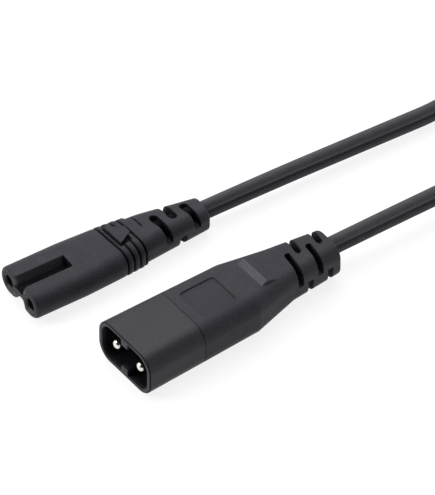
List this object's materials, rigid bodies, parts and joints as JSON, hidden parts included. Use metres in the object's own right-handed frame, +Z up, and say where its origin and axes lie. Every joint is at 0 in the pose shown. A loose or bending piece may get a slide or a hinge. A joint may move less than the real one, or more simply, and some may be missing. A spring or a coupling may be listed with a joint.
{
  "type": "figure-eight power adapter lead",
  "caption": "Short flat-cord power adapter lead: a black figure-eight connector at one end and the matching shrouded pin plug at the other, both with slotted strain reliefs.",
  "frame": {"origin": "on the table under the middle of the plug's shroud", "axes": "+Z up, +X along the plug from its mouth towards the cord, +Y towards the connector lying beside it"},
  "size_m": [0.1859, 0.0628, 0.0115],
  "materials": {
    "black_pvc": "matt, finely textured moulding",
    "shroud_plastic": "matt, slightly smoother than the body",
    "carrier_plastic": "plain moulded",
    "cord_pvc": "satin extruded sheath",
    "pin_nickel": "bright nickel plate",
    "contact_brass": "plain stamped",
    "core_brown": "plain insulation",
    "core_blue": "plain insulation",
    "conductor_copper": "bare stranded copper, shown solid"
  },
  "bodies": {
    "root": {"connector_body": "black_pvc", "contact_carrier": "carrier_plastic", "contact_sleeve_far": "contact_brass", "contact_sleeve_near": "contact_brass", "connector_core_far": "core_brown", "connector_core_near": "core_blue", "connector_conductor_far": "conductor_copper", "connector_conductor_near": "conductor_copper", "plug_body": "black_pvc", "pin_shroud": "shroud_plastic", "pin_far": "pin_nickel", "pin_near": "pin_nickel", "plug_core_far": "core_brown", "plug_core_near": "core_blue", "plug_conductor_far": "conductor_copper", "plug_conductor_near": "conductor_copper", "cord": "cord_pvc"}
  },
  "joints": []
}
